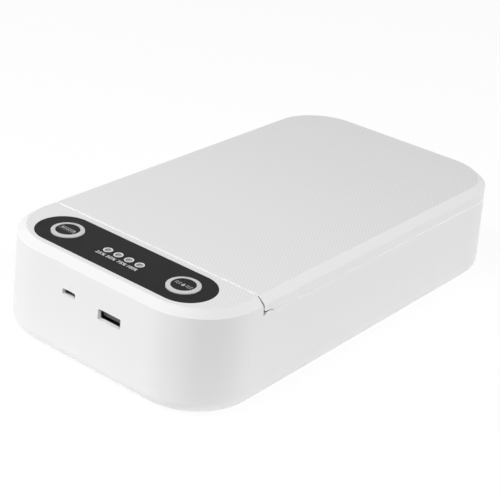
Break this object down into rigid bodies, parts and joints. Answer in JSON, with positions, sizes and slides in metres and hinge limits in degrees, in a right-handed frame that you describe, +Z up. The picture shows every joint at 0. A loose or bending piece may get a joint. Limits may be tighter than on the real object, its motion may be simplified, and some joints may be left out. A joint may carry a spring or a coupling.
{
  "type": "uv sanitizer box for phones",
  "caption": "Low rounded box with a hinged lid over a lamp-lit phone chamber and a black button panel at one end.",
  "frame": {"origin": "middle of the footprint, on the surface the feet stand on", "axes": "+Z up; +Y from the control end to the far end of the lid; +X to the right as seen from the control end"},
  "size_m": [0.123, 0.2246, 0.047],
  "materials": {
    "white_shell": "fine moulded texture",
    "white_cover": "fine moulded texture",
    "white_inner": "smooth moulded",
    "quartz": "clear",
    "uv_glass": "clear",
    "silicone": "soft",
    "reflector": "bright rolled",
    "black_panel": "satin",
    "ring_white": "satin",
    "light_lens": "clear moulded",
    "led_body": "moulded",
    "board": "solder mask",
    "switch_black": "moulded",
    "tongue": "moulded",
    "plunger": "moulded",
    "socket_metal": "nickel plated",
    "transformer": "taped winding on a core",
    "capacitor": "sleeved",
    "lead_red": "insulated wire",
    "cup": "drawn",
    "felt": "pressed felt",
    "heater": "film heater",
    "foot_rubber": "soft",
    "screw_steel": "zinc plated",
    "pin_steel": "ground",
    "magnet": "nickel plated"
  },
  "bodies": {
    "base": {"main_shell": "white_shell", "bottom_cover": "white_cover", "chamber_tray": "white_inner", "lamp_window_left": "quartz", "lamp_window_right": "quartz", "lower_tube_left": "uv_glass", "lower_tube_right": "uv_glass", "lower_tube_caps": "silicone", "lower_reflectors": "reflector", "control_panel": "black_panel", "light_guide": "light_lens", "indicator_leds": "led_body", "main_board": "board", "switch_bodies": "switch_black", "usb_a_shell": "socket_metal", "usb_a_tongue": "tongue", "micro_usb_shell": "socket_metal", "micro_usb_tongue": "tongue", "hall_sensor": "switch_black", "inverter_board": "board", "inverter_transformer": "transformer", "inverter_capacitors": "capacitor", "lamp_leads": "lead_red", "aroma_cup": "cup", "aroma_pad": "felt", "aroma_grille": "white_inner", "aroma_heater": "heater", "rubber_feet": "foot_rubber", "cover_screws": "screw_steel", "board_screws": "screw_steel", "hinge_pins": "pin_steel", "latch_magnets": "magnet"},
    "lid": {"lid_shell": "white_shell", "lid_liner": "white_inner", "upper_tube_left": "uv_glass", "upper_tube_right": "uv_glass", "upper_tube_caps": "silicone", "lid_reflectors": "reflector", "lid_magnets": "magnet", "lid_bumpers": "silicone", "liner_screws": "screw_steel", "sensor_magnet": "magnet"},
    "sterilise_button": {"sterilise_cap": "ring_white", "sterilise_disc": "black_panel", "sterilise_plunger": "plunger"},
    "aroma_button": {"aroma_cap": "ring_white", "aroma_disc": "black_panel", "aroma_plunger": "plunger"}
  },
  "joints": [
    {"name": "lid_hinge", "type": "hinge", "parent": "base", "child": "lid", "pos_m": [0, -0.07375, 0.044], "axis": [1, 0, 0], "range_deg": [0, 95]},
    {"name": "sterilise_press", "type": "slide", "parent": "base", "child": "sterilise_button", "axis": [0, 0, -1], "range_m": [0, 0.0006], "stiffness_N_per_m": 600},
    {"name": "aroma_press", "type": "slide", "parent": "base", "child": "aroma_button", "axis": [0, 0, -1], "range_m": [0, 0.0006], "stiffness_N_per_m": 600}
  ]
}
